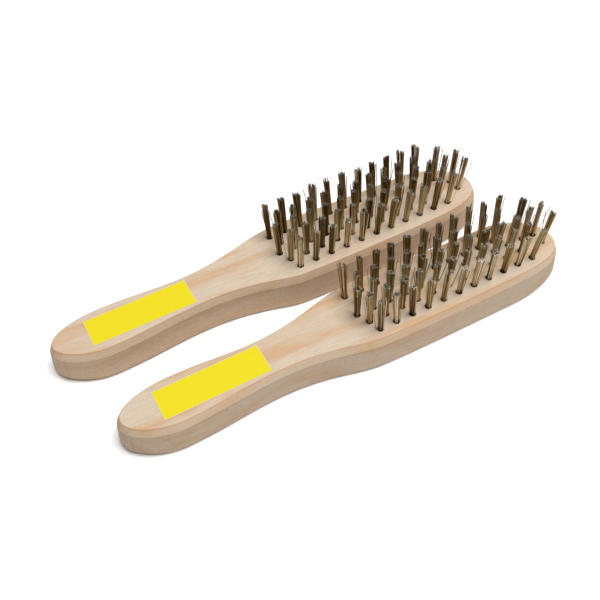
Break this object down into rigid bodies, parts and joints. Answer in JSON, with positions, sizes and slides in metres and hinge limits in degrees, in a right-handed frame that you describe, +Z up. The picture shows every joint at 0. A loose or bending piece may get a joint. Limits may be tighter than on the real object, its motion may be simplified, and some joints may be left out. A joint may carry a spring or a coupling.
{
  "type": "wire scratch brush pair",
  "caption": "Pair of wire scratch brushes lying bristles up: shaped one-piece wooden block and handle, blank yellow handle label, staggered rows of straight wire tufts.",
  "frame": {"origin": "bottom centre of the pair's bounding box, on the surface the brushes lie on", "axes": "+X from the handles to the tips, +Y from the front brush to the rear brush, +Z up along the wires"},
  "size_m": [0.3082, 0.1172, 0.0525],
  "materials": {
    "wood": "bare pale beech, planed and sanded, with softened edges",
    "label_paper": "plain yellow coated paper sticker with a thin pale edge, no print",
    "wire": "brass-coated steel wire, straight drawn and cut, with bare steel ends"
  },
  "bodies": {
    "front_brush": {"front_block": "wood", "front_label": "label_paper", "front_row_1_handle": "wire", "front_row_1_middle": "wire", "front_row_1_tip": "wire", "front_row_2_handle": "wire", "front_row_2_middle": "wire", "front_row_2_tip": "wire", "front_row_3_handle": "wire", "front_row_3_middle": "wire", "front_row_3_tip": "wire", "front_row_4_handle": "wire", "front_row_4_middle": "wire", "front_row_4_tip": "wire", "front_row_5_handle": "wire", "front_row_5_middle": "wire", "front_row_5_tip": "wire"},
    "rear_brush": {"rear_block": "wood", "rear_label": "label_paper", "rear_row_1_handle": "wire", "rear_row_1_middle": "wire", "rear_row_1_tip": "wire", "rear_row_2_handle": "wire", "rear_row_2_middle": "wire", "rear_row_2_tip": "wire", "rear_row_3_handle": "wire", "rear_row_3_middle": "wire", "rear_row_3_tip": "wire", "rear_row_4_handle": "wire", "rear_row_4_middle": "wire", "rear_row_4_tip": "wire", "rear_row_5_handle": "wire", "rear_row_5_middle": "wire", "rear_row_5_tip": "wire"}
  },
  "joints": [
    {"name": "rear_lift", "type": "slide", "parent": "front_brush", "child": "rear_brush", "axis": [0, 0, 1], "range_m": [0, 0.12]}
  ]
}
